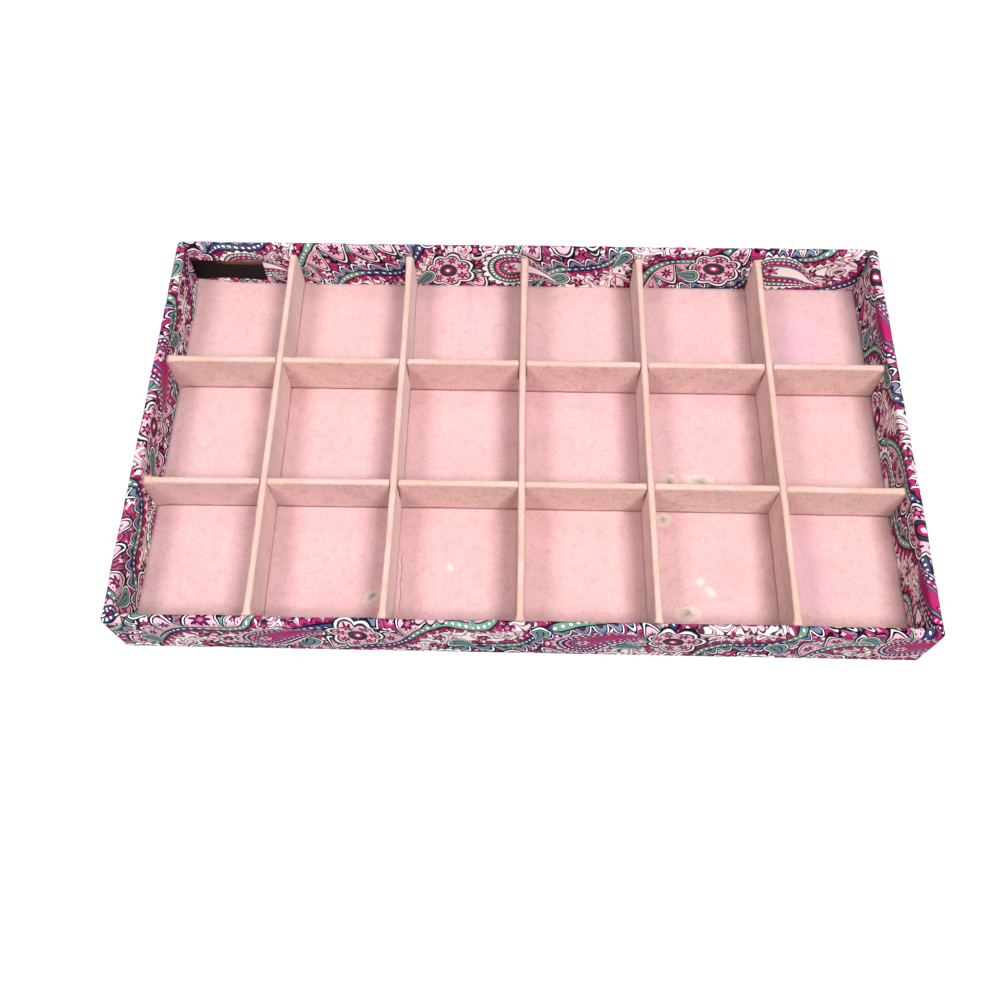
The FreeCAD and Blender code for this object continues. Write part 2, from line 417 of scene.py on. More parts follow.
class Divider:
    """Where one divider runs, from its packed cover: its ends, its thickness and its slightly bent line."""

    def __init__(self, name, body, runs_along_x, bend, seed):
        low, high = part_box(f"{name}_flock")
        along = 0 if runs_along_x else 1
        self.name = name
        self.body = body
        self.runs_along_x = runs_along_x
        self.seed = seed
        self.start = low[along]
        self.stop = high[along]
        self.middle = (low[1 - along] + high[1 - along]) / 2
        self.thick = high[1 - along] - low[1 - along]
        stations = np.linspace(self.start, self.stop, len(bend))
        self.cubic = np.polyfit(stations, self.middle + np.array(bend) * MM, 3)
        depth = (DIVIDER_TOP - FLOOR_TOP) / 2 + SLOT_END_GAP
        self.slot_level = DIVIDER_TOP - depth if runs_along_x else FLOOR_TOP + depth

    def line(self, places):
        """Sideways place of the bent line: a cubic through its four stations."""
        return np.polyval(self.cubic, places)

    def cross(self, others):
        """Takes the slots where the others cross this divider, and spaces its columns to their edges.

        A slot is as wide as the other divider and a gap on each side, which wear has opened on the
        long dividers, whose slots show.
        """
        draw = np.random.default_rng(self.seed + 7)
        wear = SLOT_WEAR if self.runs_along_x else 0.0
        gaps = SLOT_SIDE_GAP + wear * draw.random((2, len(others)))
        self.crossings = np.array([other.line(self.middle) for other in others])
        self.slot_starts = self.crossings - self.thick / 2 - gaps[0]
        self.slot_stops = self.crossings + self.thick / 2 + gaps[1]
        edges = np.concatenate([self.slot_starts, self.slot_stops])
        even = np.linspace(self.start, self.stop, int((self.stop - self.start) / DIVIDER_STEP))
        clear = np.min(np.abs(even[:, None] - edges), axis=1) > STEP_CLEARANCE
        clear[[0, -1]] = True
        self.stations = np.sort(np.concatenate([even[clear], edges]))

    def from_end(self):
        """Distance of each station from the nearest end of the fold, which a slot in it ends too."""
        ends = np.array([self.start, self.stop])
        if self.runs_along_x:
            ends = np.concatenate([ends, self.slot_starts, self.slot_stops])
        return np.min(np.abs(self.stations[:, None] - ends), axis=1)

    def unslotted(self, height):
        """Which quads stay: all but those past the slot's level at a crossing."""
        along_mid = (self.stations[1:] + self.stations[:-1])[:, None] / 2
        height_mid = (height[1:] + height[:-1]) / 2
        in_slot = np.any((along_mid > self.slot_starts) & (along_mid < self.slot_stops), axis=1)
        past_level = height_mid > self.slot_level if self.runs_along_x else height_mid < self.slot_level
        return ~(in_slot[:, None] & past_level[None, :])

    def placed(self, along, sideways, upward):
        """Points of a surface given along, beside and above the bent line."""
        beside = self.line(along)
        if self.runs_along_x:
            return np.stack([along, beside + sideways, upward], axis=-1)
        return np.stack([beside - sideways, along, upward], axis=-1)


def divider_cover(divider):
    """Flocked paper folded over a divider: the fold's profile carried along it, without its slots.

    Between crossings the cover bows sideways by half a sine, its thickness and fold are uneven by a
    ripple, it is slimmer at the fold than at the foot, the fold rounds down at its ends, and the two
    faces splay apart over the last few millimetres.
    """
    side, height, fold = fold_profile(divider.thick / 2, divider.slot_level)
    stations = divider.stations
    seed = divider.seed
    draw = np.random.default_rng(seed)
    stops = np.array([divider.start, *divider.crossings, divider.stop])
    bay = np.clip(np.searchsorted(stops, stations) - 1, 0, len(stops) - 2)
    share = (stations - stops[bay]) / (stops[bay + 1] - stops[bay])
    strength = draw.uniform(0.4, 1, len(stops) - 1) * draw.choice([-1, 1], len(stops) - 1)
    bow = DIVIDER_BOW * strength[bay] * np.sin(np.pi * share)

    along, across = np.meshgrid(stations, fold, indexing="ij")
    near_fold = 1 - ease(np.abs(across), *FOLD_REACH)
    dent = FOLD_DENT * near_fold * ease(ripple(along, across, seed, *DENT_WAVES), *DENT_LEVELS)
    rise = FOLD_RISE * near_fold * ripple(along, 0 * across, seed + 50, *FOLD_WAVES)
    drop = END_DROP * near_fold * (1 - ease(divider.from_end(), 0, END_ROUNDING))[:, None] ** 2
    from_start = stations - divider.start
    from_stop = divider.stop - stations
    start_flare = draw.uniform(*START_FLARE_SHARE)
    stop_flare = draw.uniform(*STOP_FLARE_SHARE)
    flare = END_FLARE * np.where(from_start < from_stop, start_flare, stop_flare)
    flare = flare * (1 - ease(np.minimum(from_start, from_stop), 0, FLARE_LENGTH)) ** 1.5
    pinch = PINCH * ripple(stations, 0 * stations, seed + 80, *PINCH_WAVES)
    spread = 1 + pinch + flare / (divider.thick / 2)
    taper = FOLD_SHARE + (FOOT_SHARE - FOLD_SHARE) * ease(np.abs(fold), *TAPER_REACH)
    sideways = side * taper * spread[:, None] + bow[:, None] - np.sign(side) * dent * DENT_ASIDE
    points = divider.placed(along, sideways, height + rise - dent - drop)
    uv = np.stack([along, across], axis=-1)
    piece = grid_piece(f"{divider.name}_cover", points, uv, divider.unslotted(height), DIVIDER_FLOCK)
    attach(piece, divider.body)
    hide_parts(f"{divider.name}_flock")
    return piece


def divider_core(divider):
    """Board inside a divider: an upright sheet on the bent line, slotted, with thickness on both sides."""
    low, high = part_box(f"{divider.name}_board")
    lower = np.linspace(low.z, divider.slot_level, 5)
    upper = np.linspace(divider.slot_level, high.z - END_DROP, 5)[1:]
    height = np.concatenate([lower, upper])
    along, up = np.meshgrid(divider.stations, height, indexing="ij")
    points = divider.placed(along, 0 * up, up)
    uv = np.stack([along, up], axis=-1)
    thickness = divider.thick - 2 * (DIVIDER_FLOCK + CORE_CLEARANCE)
    piece = grid_piece(f"{divider.name}_core", points, uv, divider.unslotted(height), thickness)
    piece.modifiers["thickness"].offset = 0
    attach(piece, divider.body)
    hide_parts(f"{divider.name}_board")
    return piece


def ribbon_label():
    """Bare ribbon on the rear wall: a flat strip that stands off the cloth by a slow ripple."""
    low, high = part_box("blank_label")
    u = np.linspace(0, 1, RIBBON_GRID[0])[:, None]
    v = np.linspace(0, 1, RIBBON_GRID[1])[None, :]
    x = low.x + (high.x - low.x) * u + 0 * v
    sag = RIBBON_SAG * np.sin(np.pi * u) ** 2 * (1 - v)
    z = low.z + (high.z - low.z) * v + sag - RIBBON_TILT * u * (1 - v)
    off = RIBBON_OFF + RIBBON_RIPPLE * np.tanh(ripple(x, z, 21, *RIBBON_WAVES))
    y = high.y - off
    points = np.stack([x, y, z], axis=-1)
    uv = np.stack([x - low.x, z - low.z], axis=-1)
    piece = grid_piece("bare_ribbon", points, uv, thickness=RIBBON_THICKNESS)
    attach(piece, TRAY)
    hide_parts("blank_label")
    return piece


class Wire:
    """A socket among a finish's nodes. Arithmetic on it adds Math nodes."""

    def __init__(self, finish, socket):
        self.finish = finish
        self.socket = socket

    def math(self, operation, first, second=0.0):
        return self.finish.node("ShaderNodeMath", {"operation": operation}, {0: first, 1: second})

    def __add__(self, other):
        return self.math("ADD", self, other)

    __radd__ = __add__

    def __sub__(self, other):
        return self.math("SUBTRACT", self, other)

    def __rsub__(self, other):
        return self.math("SUBTRACT", other, self)

    def __mul__(self, other):
        return self.math("MULTIPLY", self, other)

    __rmul__ = __mul__

    def __truediv__(self, other):
        return self.math("DIVIDE", self, other)

    def __rtruediv__(self, other):
        return self.math("DIVIDE", other, self)

    def __pow__(self, other):
        return self.math("POWER", self, other)

    def __neg__(self):
        return self.math("MULTIPLY", self, -1.0)

    def __abs__(self):
        return self.math("ABSOLUTE", self)

    def floor(self):
        return self.math("FLOOR", self)

    def fraction(self):
        return self.math("FRACT", self)

    def sine(self):
        return self.math("SINE", self)

    def cosine(self):
        return self.math("COSINE", self)

    def root(self):
        return self.math("SQRT", self)

    def least(self, other):
        return self.math("MINIMUM", self, other)

    def most(self, other):
        return self.math("MAXIMUM", self, other)

    def angle_to(self, other):
        return self.math("ARCTAN2", self, other)

    def rises(self, low, high, first=0.0, last=1.0):
        """The first value up to low, the last from high, smooth between."""
        inputs = {"Value": self, "From Min": low, "From Max": high, "To Min": first, "To Max": last}
        return self.finish.node("ShaderNodeMapRange", {"interpolation_type": "SMOOTHSTEP"}, inputs)

    def falls(self, low, high):
        """1 up to low, 0 from high, smooth between."""
        return self.rises(low, high, 1.0, 0.0)

    def between(self, low, high, soft):
        """1 between low and high, with soft edges."""
        return self.rises(low - soft, low + soft) * self.falls(high - soft, high + soft)

    def paint(self, under, colour):
        """Colour over another where this wire is 1."""
        inputs = {0: self, 6: under, 7: colour}
        return self.finish.node("ShaderNodeMix", {"data_type": "RGBA"}, inputs, 2)

    def parts(self):
        """The three numbers of a vector or colour."""
        made = self.finish.node("ShaderNodeSeparateXYZ", None, {0: self})
        outputs = made.socket.node.outputs
        return [Wire(self.finish, outputs[n]) for n in range(3)]

    def joined(self, second, third=0.0):
        """A vector of this number and two more."""
        return self.finish.node("ShaderNodeCombineXYZ", None, {0: self, 1: second, 2: third})

    def noise(self, size, detail=2.0, roughness=0.5, output=0):
        """Noise from about 0 to 1 over this vector, with features of this size. Output 1 is a colour."""
        inputs = {"Vector": self, "Scale": 1 / size, "Detail": detail, "Roughness": roughness}
        return self.finish.node("ShaderNodeTexNoise", {"noise_dimensions": "3D"}, inputs, output)

    def chance(self):
        """A random number for each whole-numbered cell that this vector names."""
        return self.finish.node("ShaderNodeTexWhiteNoise", {"noise_dimensions": "3D"}, {"Vector": self})


def ink(red, green, blue):
    """Linear colour of a display colour given from 0 to 255."""
    def linear(level):
        share = level / 255
        return share / 12.92 if share <= 0.04045 else ((share + 0.055) / 1.055) ** 2.4

    return (linear(red), linear(green), linear(blue), 1.0)


class Finish:
    """A new material with its Principled shader, and the coordinates that its pattern reads."""

    def __init__(self, name, **constants):
        self.material = bpy.data.materials.new(name)
        self.material.use_nodes = True
        self.tree = self.material.node_tree
        self.shader = self.tree.nodes["Principled BSDF"]
        for socket, value in constants.items():
            self.shader.inputs[socket.replace("_", " ")].default_value = value

    def node(self, kind, settings=None, inputs=None, output=0):
        """Adds a node: its settings first, then the value or link of each named or numbered socket."""
        made = self.tree.nodes.new(kind)
        for key, value in (settings or {}).items():
            setattr(made, key, value)
        for key, value in (inputs or {}).items():
            if isinstance(value, Wire):
                self.tree.links.new(value.socket, made.inputs[key])
            else:
                made.inputs[key].default_value = value
        return Wire(self, made.outputs[output])

    def place(self):
        """Place in the tray's frame, in metres."""
        return self.node("ShaderNodeTexCoord", output="Object")

    def sheet(self):
        """Place on the flat sheet, in metres."""
        return self.node("ShaderNodeUVMap", {"uv_map": "sheet"}, output="UV")

    def feed(self, socket, wire):
        self.tree.links.new(wire.socket, self.shader.inputs[socket])

    def clear_from_behind(self):
        """Lets the surface be seen through from behind, so that what stands on it shows from below."""
        behind = self.node("ShaderNodeNewGeometry", output="Backfacing")
        nothing = self.node("ShaderNodeBsdfTransparent", output="BSDF")
        inputs = {0: behind, 1: Wire(self, self.shader.outputs["BSDF"]), 2: nothing}
        mixed = self.node("ShaderNodeMixShader", None, inputs)
        self.tree.links.new(mixed.socket, self.tree.nodes["Material Output"].inputs["Surface"])

    def bump(self, height, distance, strength=1.0):
        inputs = {"Height": height, "Distance": distance, "Strength": strength}
        self.feed("Normal", self.node("ShaderNodeBump", None, inputs))


# Inks of the print
MAGENTA = ink(174, 34, 100)
ROSE = ink(210, 92, 144)
CREAM = ink(240, 226, 222)
WHITE = ink(248, 242, 246)
BLUSH = ink(230, 178, 194)
PLUM = ink(76, 24, 60)
CHARCOAL = ink(14, 12, 20)
SLATE = ink(28, 32, 44)
NAVY = ink(54, 60, 104)
STEEL = ink(104, 124, 152)
TEAL = ink(38, 60, 72)
SAGE = ink(108, 146, 126)

# Print: its scale, the most that chance turns a motif, and the cells of its lattices before scaling
PRINT_SCALE = 1.35
FULL_TURN = 6.28
LATTICE = (58.0, 47.0)
LEAF_LATTICE = (29.0, 23.5)


def half_drop(u, v, width, height):
    """Place in a half-drop lattice's cell, from its middle, and the cell's two numbers."""
    column = (u / width).floor()
    dropped = v + (column * 0.5).fraction() * height
    row = (dropped / height).floor()
    return u - (column + 0.5) * width, dropped - (row + 0.5) * height, column, row


def turned(x, y, angle):
    """Place turned by an angle wire."""
    cosine = angle.cosine()
    sine = angle.sine()
    return x * cosine + y * sine, y * cosine - x * sine


def teardrop(x, y, radius, length, bend):
    """Share of the way from spine to outline of a bent teardrop, the way along its outline, and the
    share of the way up to its tip.

    Below the waist the share is the radius over the round end's own. Above it, it is the sideways
    distance from a spine that bends ever more to the tip, over a width that narrows to the tip.
    """
    up = (y / length).most(0.0).least(1.0)
    aside = x - bend * up**2.4
    width = 1.03 - up**1.7
    down = y.least(0.0)
    share = ((aside / width) ** 2.0 + down * down).root() / radius
    share = share + (y - length).most(0.0)
    way = radius * abs(aside).angle_to(-down) + y.most(0.0)
    return share, way, up


def flower(x, y, petals, radius):
    """Share of the way from a flower's heart to its petals' outline."""
    reach = 0.74 + 0.26 * (y.angle_to(x) * petals).cosine()
    return (x * x + y * y).root() / (radius * reach)


def beads(way, off, pitch, radius):
    """Mask of round beads along a line: way runs along it and off is the distance from it."""
    step = ((way / pitch).fraction() - 0.5) * pitch
    return (step * step + off * off).root().falls(radius - 0.1, radius + 0.1)


def bands(colour, share, rings):
    """Paints ever smaller rings, each a share of the way out and its colour, one over the other."""
    for reach, shade in rings:
        colour = share.falls(reach - 0.025, reach + 0.025).paint(colour, shade)
    return colour


def boteh(colour, x, y, radius, length, bend, hand):
    """Bent teardrop with a lobed fringe, beaded bands and a flower. hand swaps its colours."""
    share, way, up = teardrop(x, y, radius, length, bend)
    fringe = abs((way * (math.pi / 3.1)).sine())
    outer = share - 0.2 * fringe * (1 - up)
    colour = bands(colour, outer, ((1.12, SLATE), (1.03, hand.paint(BLUSH, WHITE))))
    colour = bands(colour, share, ((1.0, CHARCOAL), (0.93, hand.paint(NAVY, SAGE))))
    colour = beads(way, (share - 0.84) * radius, 1.9, 0.5).paint(colour, WHITE)
    colour = bands(colour, share, ((0.75, CHARCOAL), (0.69, MAGENTA)))
    colour = beads(way, (share - 0.59) * radius, 2.4, 0.55).paint(colour, BLUSH)
    colour = bands(colour, share, ((0.49, CHARCOAL), (0.43, STEEL), (0.35, SLATE)))
    colour = bands(colour, share, ((0.31, hand.paint(MAGENTA, CREAM)),))
    heart = flower(x, y, 6, radius * 0.36)
    return bands(colour, heart, ((1.05, CHARCOAL), (0.86, hand.paint(BLUSH, ROSE)), (0.4, PLUM)))


def medallion(colour, x, y, radius, petals):
    """Scalloped round with a ring of small flowers about an eye."""
    far = (x * x + y * y).root()
    angle = y.angle_to(x)
    lobes = abs((angle * (petals / 2)).cosine())
    share = far / (radius * (0.8 + 0.2 * lobes))
    colour = bands(colour, share, ((1.08, CHARCOAL), (0.98, WHITE), (0.9, CHARCOAL), (0.82, BLUSH)))
    sector = 2 * math.pi / petals
    local = ((angle / sector + 0.5).fraction() - 0.5) * sector
    bud = flower(far * local.cosine() - radius * 0.6, far * local.sine(), 6, radius * 0.2)
    colour = bands(colour, bud, ((1.05, PLUM), (0.42, ROSE)))
    eye = far / radius
    return bands(
        colour, eye, ((0.38, CHARCOAL), (0.33, TEAL), (0.24, CHARCOAL), (0.19, MAGENTA), (0.08, WHITE))
    )


def pointed_petal(x, y, half_width, height):
    """Share of the way to a pointed petal's outline: its height, plus its half width to a power."""
    return y / height + (abs(x) / half_width) ** 1.7


def sprinkle(colour, u, v, width, height, seed, scatter, petals, radius, rings, share):
    """Small flowers in a half-drop lattice, shifted and turned by chance, on a share of its cells."""
    x, y, column, row = half_drop(u, v, width, height)
    luck = column.joined(row, seed).chance()
    x, y = turned(x + scatter * (luck - 0.5), y - scatter * (luck - 0.5), luck * FULL_TURN)
    bud = flower(x, y, petals, radius) + luck.rises(share, share + 0.01) * 4
    return bands(colour, bud, rings)


def printed_cotton():
    """Cotton printed with a paisley. Waving beaded ribbons part magenta grounds from cream ones. Pointed
    pink petals stand along them on the magenta side and small scallops on the cream side. Florets and
    leaves are scattered between, and scalloped rounds and bent teardrops lie over all."""
    finish = Finish("printed_cotton", Roughness=0.9, Specular_IOR_Level=0.06)
    sheet = finish.sheet()
    cloth_u, cloth_v, _ = sheet.parts()
    per_metre = 1000 / PRINT_SCALE
    plane = (cloth_u * per_metre).joined(cloth_v * per_metre)
    slow_u, slow_v, _ = plane.noise(26.0, 0.0, output=1).parts()
    fine_u, fine_v, _ = plane.noise(3.2, 1.0, output=1).parts()
    u = cloth_u * per_metre + 9 * (slow_u - 0.5) + 0.45 * (fine_u - 0.5)
    v = cloth_v * per_metre + 9 * (slow_v - 0.5) + 0.45 * (fine_v - 0.5)

    # Waving bands across the cloth's slant, in turn magenta and cream
    slant = math.radians(31)
    run = u * math.cos(slant) + v * math.sin(slant)
    climb = v * math.cos(slant) - u * math.sin(slant)
    pitch = 21.5
    wave = climb + 4.2 * (run * (2 * math.pi / 41)).sine()
    count = (wave / pitch).floor()
    across = wave - (count + 0.5) * pitch
    cream = (count * 0.5).fraction() * 2
    from_low = across + pitch / 2
    from_ribbon = pitch / 2 - abs(across)

    # Grounds: magenta plain, and cream with scrolls that follow the levels of a smooth noise
    level = (u.joined(v, 4.0).noise(7.5, 0.6) * 8.0).fraction()
    colour = cream.paint(MAGENTA, CREAM)
    colour = (level.falls(0.3, 0.34) * cream).paint(colour, BLUSH)
    colour = (level.between(0.34, 0.5, 0.03) * cream).paint(colour, TEAL)
    colour = (level.between(0.0, 0.14, 0.03) * cream).paint(colour, CHARCOAL)
    colour = (level.falls(0.26, 0.3) * (1 - cream)).paint(colour, CHARCOAL)
    colour = (level.between(0.28, 0.42, 0.03) * (1 - cream)).paint(colour, STEEL)

    # Florets and dots
    rings = ((1.15, SLATE), (0.98, cream.paint(WHITE, PLUM)), (0.42, cream.paint(PLUM, ROSE)))
    colour = sprinkle(colour, u, v, 8.6, 7.4, 3.0, 2.6, 5, 2.5, rings, 0.8)
    rings = ((1.0, cream.paint(BLUSH, MAGENTA)),)
    colour = sprinkle(colour, u + 4.0, v + 2.4, 4.4, 3.8, 8.0, 1.6, 4, 0.95, rings, 0.6)

    # Pointed petals on the magenta side of a ribbon, with a green leaf in each gap between two
    petal_width = 10.6
    petal_height = 11.0
    petal_x = ((run / petal_width).fraction() - 0.5) * petal_width
    petal_y = from_low - 1.4
    petal = pointed_petal(petal_x, petal_y, petal_width / 2, petal_height) + cream * 9
    gap = petal + petal_y.rises(0.45 * petal_height, 0.5 * petal_height) * 9
    colour = bands(colour, gap, ((1.56, CHARCOAL), (1.42, SAGE)))
    colour = bands(colour, petal, ((1.2, CHARCOAL), (1.04, WHITE), (0.96, CHARCOAL), (0.86, BLUSH)))
    heart = flower(petal_x, petal_y - 0.42 * petal_height, 7, 2.5) + cream * 9
    colour = bands(colour, heart, ((1.05, PLUM), (0.36, ROSE)))
    colour = (beads(run, petal_y - 1.7, 1.3, 0.32) * (1 - cream)).paint(colour, PLUM)
    inner_beads = beads(run, petal_y - 3.0, 2.1, 0.32) * (1 - cream) * petal.falls(0.8, 0.85)
    colour = inner_beads.paint(colour, PLUM)

    # Small blue petals on its other side
    bud_width = 5.6
    bud_x = ((run / bud_width).fraction() - 0.5) * bud_width
    bud = pointed_petal(bud_x, pitch / 2 - across - 1.4, bud_width / 2, 5.6) + cream * 9
    colour = bands(colour, bud, ((1.26, CHARCOAL), (1.06, WHITE), (0.9, CHARCOAL)))
    colour = bands(colour, bud, ((0.72, STEEL), (0.36, PLUM)))

    # Small scallops on the cream side
    scallop_width = 3.6
    scallop_x = ((run / scallop_width).fraction() - 0.5) * scallop_width
    scallop = (from_ribbon - 1.4) / 3.6 + (scallop_x / (scallop_width / 2)) ** 2.0 + (1 - cream) * 9
    colour = bands(colour, scallop, ((1.2, CHARCOAL), (1.0, MAGENTA), (0.5, PLUM)))

    # The ribbon itself: dark edges, pale lines and a green or blue middle with a row of beads
    colour = from_ribbon.falls(1.9, 2.1).paint(colour, CHARCOAL)
    colour = from_ribbon.falls(1.3, 1.45).paint(colour, slow_u.rises(0.45, 0.55).paint(SAGE, NAVY))
    colour = beads(run, from_ribbon, 2.2, 0.5).paint(colour, WHITE)

    # Scalloped rounds, leaves and bent teardrops, each in a lattice of its own
    x, y, _, _ = half_drop(u + 31, v + 20, *LATTICE)
    colour = medallion(colour, x, y, 11.0, 7)
    x, y, column, row = half_drop(u + 6, v + 3, *LEAF_LATTICE)
    luck = column.joined(row, 5.0).chance()
    x, y = turned(x, y, luck * FULL_TURN)
    leaf, _, _ = teardrop(x, y + 1.4, 3.3, 8.4, 3.6)
    leaf = leaf + luck.falls(0.3, 0.32) * 4
    colour = bands(colour, leaf, ((1.25, SLATE), (1.08, WHITE), (0.94, SLATE), (0.82, SAGE)))
    colour = bands(colour, leaf, ((0.44, SLATE), (0.28, STEEL)))
    x, y, column, row = half_drop(u + 2, v - 3, *LATTICE)
    hand = ((column + row) * 0.5).fraction() * 2
    x, y = turned(x, y, hand * 2.5 - 0.8)
    colour = boteh(colour, x, y + 5, 8.8, 22.0, 10.0, hand)

    # Threads of the weave, and faint uneven take-up of the ink
    thread = 2 * math.pi / (0.42 * MM)
    weave = (cloth_u * thread).sine() * (cloth_v * thread).sine()
    grain = sheet.noise(0.5 * MM, 2.0)
    fade = plane.noise(14.0, 3.0).rises(0.4, 0.85) * 0.05
    finish.feed("Base Color", fade.paint(colour, CREAM))
    finish.bump(weave * 0.5 + grain, 0.06 * MM, 0.6)
    return finish.material


def flock(name, tone, warm, bright, dim, spots_and_painted_light):
    """Pile of short fibres: mottled pink, warmer in places, with a soft sheen and a fine grain.

    The last argument paints its marks, and the painted shade and painted highlights among them.
    """
    finish = Finish(name, Roughness=1.0, Specular_IOR_Level=0.1, Sheen_Weight=0.35, Sheen_Roughness=0.6)
    place = finish.place()
    slow = place.noise(130 * MM, 1.0)
    cloud = place.noise(26 * MM, 4.0, 0.6)
    blotch = place.noise(5 * MM, 3.0, 0.6)
    fleck = place.noise(1.1 * MM, 3.0, 0.65)
    pile = place.noise(0.32 * MM, 2.0, 0.6)
    colour = slow.rises(0.35, 0.65).paint(tone, warm)
    colour = (cloud.falls(0.28, 0.55) * 0.4).paint(colour, dim)
    colour = (blotch.falls(0.32, 0.52) * 0.5).paint(colour, dim)
    colour = (fleck.rises(0.5, 0.72) * 0.5).paint(colour, bright)
    colour = (fleck.falls(0.3, 0.48) * 0.6).paint(colour, dim)
    colour = spots_and_painted_light(finish, place, colour)
    finish.feed("Base Color", colour)
    finish.bump(pile + 0.8 * fleck, 0.16 * MM, 0.7)
    return finish.material


# Marks on the floor, and patches of painted shade: middle and reach in millimetres, and how far each is
# turned, in degrees
DAMP_MARKS = (
    ((-76.4, -89.0), (5.0, 2.4), 38),
    ((80.5, -19.2), (4.0, 3.6), 0),
    ((97.6, -19.0), (7.2, 4.0), -8),
    ((75.8, -42.6), (4.2, 3.2), 20),
    ((86.2, -95.6), (5.4, 3.8), 8),
)
GLUE_MARKS = (
    ((93.3, -78.0), (3.2, 2.8), 0),
    ((98.9, -83.5), (4.2, 2.4), -50),
    ((-37.1, -72.1), (2.2, 2.8), 0),
)
# Patches of painted shade: a lilac tint on the left side of the two right-hand compartments
LILAC_SHADE_PATCHES = (
    ((150.0, -70.0), (14.0, 34.0), 0),
    ((160.0, 74.0), (20.0, 26.0), 0),
)

# Tear in the floor: its place along X, its two ends and how far it wanders
TEAR_PLACE = -62.4 * MM
TEAR_ENDS = (-97 * MM, -66 * MM)
TEAR_WANDER = 3.4 * MM


def spread_from(place, middle, reach, degrees):
    """Distance from a mark's middle as a share of its reach, along its turned axes, made ragged by a
    noise that is stretched like the mark."""
    x, y, _ = place.parts()
    x = x - middle[0] * MM
    y = y - middle[1] * MM
    cosine = math.cos(math.radians(degrees))
    sine = math.sin(math.radians(degrees))
    along = (x * cosine + y * sine) / (reach[0] * MM)
    across = (y * cosine - x * sine) / (reach[1] * MM)
    ragged = (along.joined(across, middle[0]).noise(0.75, 3.0, 0.6) - 0.5) * 1.3
    return (across * across + along * along).root() + ragged


def floor_marks_and_painted_light(place, colour):
    """Lilac painted shade on the left of the two right-hand compartments, grey-green damp marks with dark
    hearts and pale rims, glue spots, and a tear with a painted highlight along its lifted edge.
    """
    # Painted shade: a lilac tint where the last short divider's shade falls on the floor
    for mark in LILAC_SHADE_PATCHES:
        lilac_shade = spread_from(place, *mark).falls(0.2, 1.1) * 0.4
        colour = lilac_shade.paint(colour, ink(212, 164, 190))
    lace = (place.noise(1.5 * MM, 3.0, 0.7) - 0.5) * 1.4
    for mark in DAMP_MARKS:
        far = spread_from(place, *mark) + lace
        colour = (far.falls(0.95, 1.35) * 0.6).paint(colour, ink(222, 207, 197))
        colour = (far.falls(0.5, 0.95) * 0.7).paint(colour, ink(182, 173, 156))
        colour = (far.falls(0.0, 0.5) * 0.7).paint(colour, ink(136, 122, 106))
    for mark in GLUE_MARKS:
        far = spread_from(place, *mark)
        colour = (far.falls(0.3, 1.2) * 0.75).paint(colour, ink(228, 208, 202))
        colour = (far.falls(0.0, 0.3) * 0.3).paint(colour, ink(196, 186, 176))
    x, y, _ = place.parts()
    tear = x - TEAR_PLACE + (place.noise(6 * MM, 3.0) - 0.5) * TEAR_WANDER
    length = y.between(*TEAR_ENDS, 3 * MM)
    # Painted highlight: a paler strip along the lifted edge beside the tear
    lifted_edge_highlight = tear.between(-1.3 * MM, -0.2 * MM, 0.3 * MM) * length
    colour = (lifted_edge_highlight * 0.4).paint(colour, ink(232, 196, 196))
    tear = abs(tear).falls(0.15 * MM, 0.4 * MM) * length
    return (tear * 0.6).paint(colour, ink(146, 92, 92))


def dust_and_foot_shade(place, colour, dividers):
    """Dust and painted shade along the feet of the dividers: near the lines of their faces, in patches.

    The cubic of a divider's bent line is summed term by term.
    """
    x, y, _ = place.parts()
    patchy = place.noise(5 * MM, 3.0, 0.7).rises(0.25, 0.52)
    for divider in dividers:
        run, aside = (x, y) if divider.runs_along_x else (y, x)
        line = 0.0
        for factor in divider.cubic:
            line = run * line + float(factor)
        from_face = abs(abs(aside - line) - divider.thick / 2)
        # Painted shade and dust: the floor darkened along the foot of each divider face, in patches
        colour = (from_face.falls(0.2 * MM, 1.3 * MM) * patchy * 0.7).paint(colour, ink(140, 90, 84))
    return colour


def fold_wear_and_highlight(finish, place, colour):
    """Cream along the fold of a divider's cover, partly worn by rubbing and partly a painted highlight on
    its top, tanned in patches, with dark nicks.
    """
    _, across, _ = finish.sheet().parts()
    # Painted highlight and wear: the top of the fold is a lighter cream than the faces
    rubbed_and_lit_top = abs(across).falls(0.95 * MM, 2.0 * MM)
    patch = place.noise(30 * MM, 3.0, 0.6).rises(0.42, 0.58)
    colour = (rubbed_and_lit_top * 0.8).paint(colour, patch.paint(ink(222, 188, 179), ink(217, 178, 163)))
    stain = place.noise(5 * MM, 4.0, 0.7).rises(0.52, 0.68) * rubbed_and_lit_top
    colour = (stain * 0.4).paint(colour, ink(198, 156, 120))
    nick = place.noise(1.6 * MM, 4.0, 0.75).rises(0.61, 0.68) * rubbed_and_lit_top
    return (nick * 0.6).paint(colour, ink(160, 112, 90))


def board(name, tone, fibre):
    """Raw board: grey-brown with fibres and specks, slightly uneven."""
    finish = Finish(name, Roughness=0.9, Specular_IOR_Level=0.2)
    place = finish.place()
    cloud = place.noise(12 * MM, 5.0, 0.65)
    speck = place.noise(0.6 * MM, 3.0, 0.7)
    colour = (cloud.rises(0.35, 0.65) * 0.6).paint(tone, fibre)
    colour = (speck.rises(0.62, 0.7) * 0.45).paint(colour, ink(92, 74, 58))
    colour = (speck.falls(0.3, 0.38) * 0.4).paint(colour, ink(206, 194, 174))
    finish.feed("Base Color", colour)
    finish.bump(speck, 0.05 * MM, 0.5)
    return finish.material


